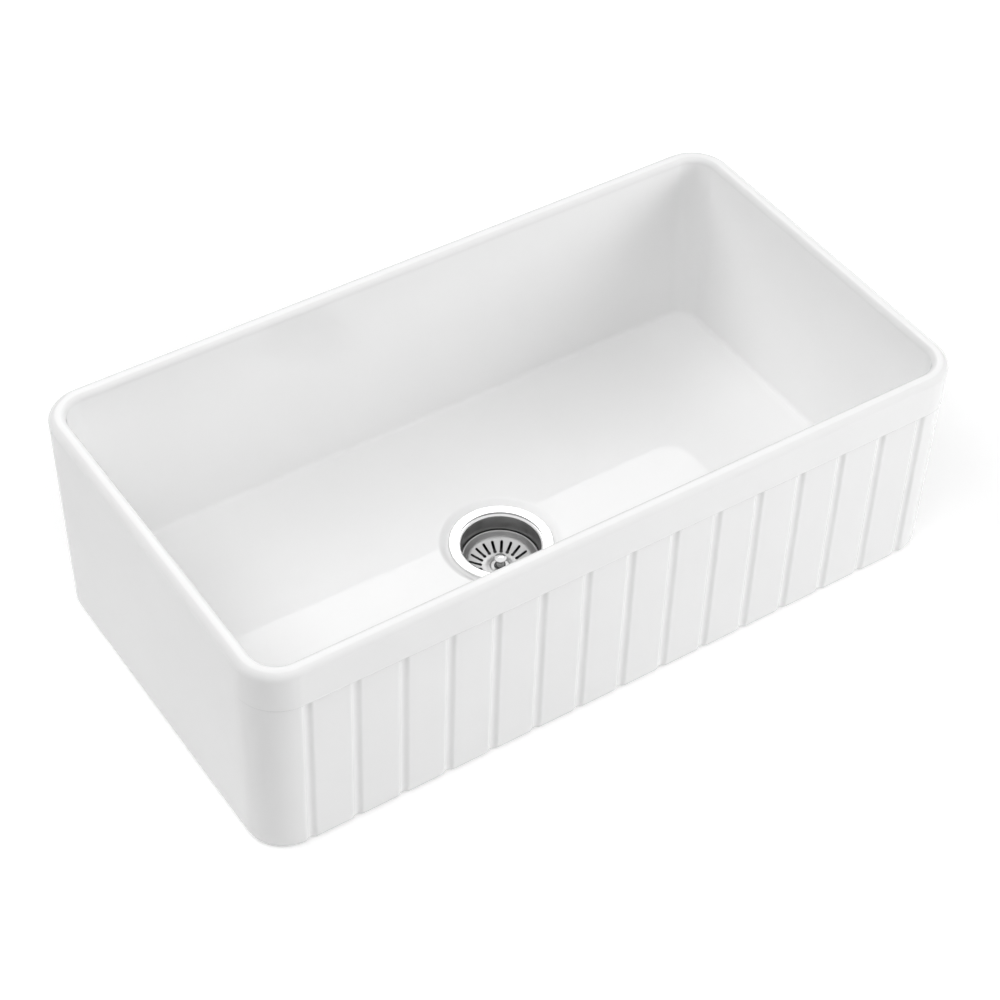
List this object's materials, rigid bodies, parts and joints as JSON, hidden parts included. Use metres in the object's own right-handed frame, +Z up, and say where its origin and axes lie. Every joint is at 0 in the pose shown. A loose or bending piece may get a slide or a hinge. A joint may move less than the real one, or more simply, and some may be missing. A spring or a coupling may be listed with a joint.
{
  "type": "farmhouse apron front sink",
  "caption": "White fireclay farmhouse kitchen sink with a fluted apron front, fitted with a basket strainer, its lift-out basket with a pull-up stopper, and the outlet below.",
  "frame": {"origin": "middle of the basin's flat underside, centred on the rim's outline; the drain's axis passes through it", "axes": "+X to the right along the apron, -Y out of the apron's face, +Z up out of the bowl"},
  "size_m": [0.8378, 0.4567, 0.4088],
  "materials": {
    "glazed_fireclay": "glossy white glaze",
    "polished_steel": "polished stainless steel",
    "brushed_steel": "satin stainless steel",
    "cast_metal": "as cast, dull",
    "brass": "turned, unlacquered",
    "black_rubber": "matt moulded rubber",
    "white_rubber": "matt moulded rubber",
    "washer_fibre": "pressed fibre",
    "nylon": "moulded nylon"
  },
  "bodies": {
    "sink": {"basin": "glazed_fireclay", "flange_seal": "white_rubber", "strainer_body": "polished_steel", "under_gasket": "black_rubber", "friction_washer": "washer_fibre", "lock_nut": "cast_metal", "tailpiece_washer": "white_rubber", "tailpiece": "brushed_steel", "coupling_nut": "brass"},
    "basket": {"basket_shell": "brushed_steel", "basket_bush": "nylon", "bush_retainer": "brushed_steel", "friction_ring": "black_rubber"},
    "stopper": {"knob": "polished_steel", "post": "brushed_steel", "stopper_plate": "brushed_steel", "stopper_rubber": "black_rubber", "stopper_nut": "brass"}
  },
  "joints": [
    {"name": "basket_lift", "type": "slide", "parent": "sink", "child": "basket", "axis": [0, 0, 1], "range_m": [0, 0.3]},
    {"name": "stopper_pull", "type": "slide", "parent": "basket", "child": "stopper", "axis": [0, 0, 1], "range_m": [0, 0.008]}
  ]
}
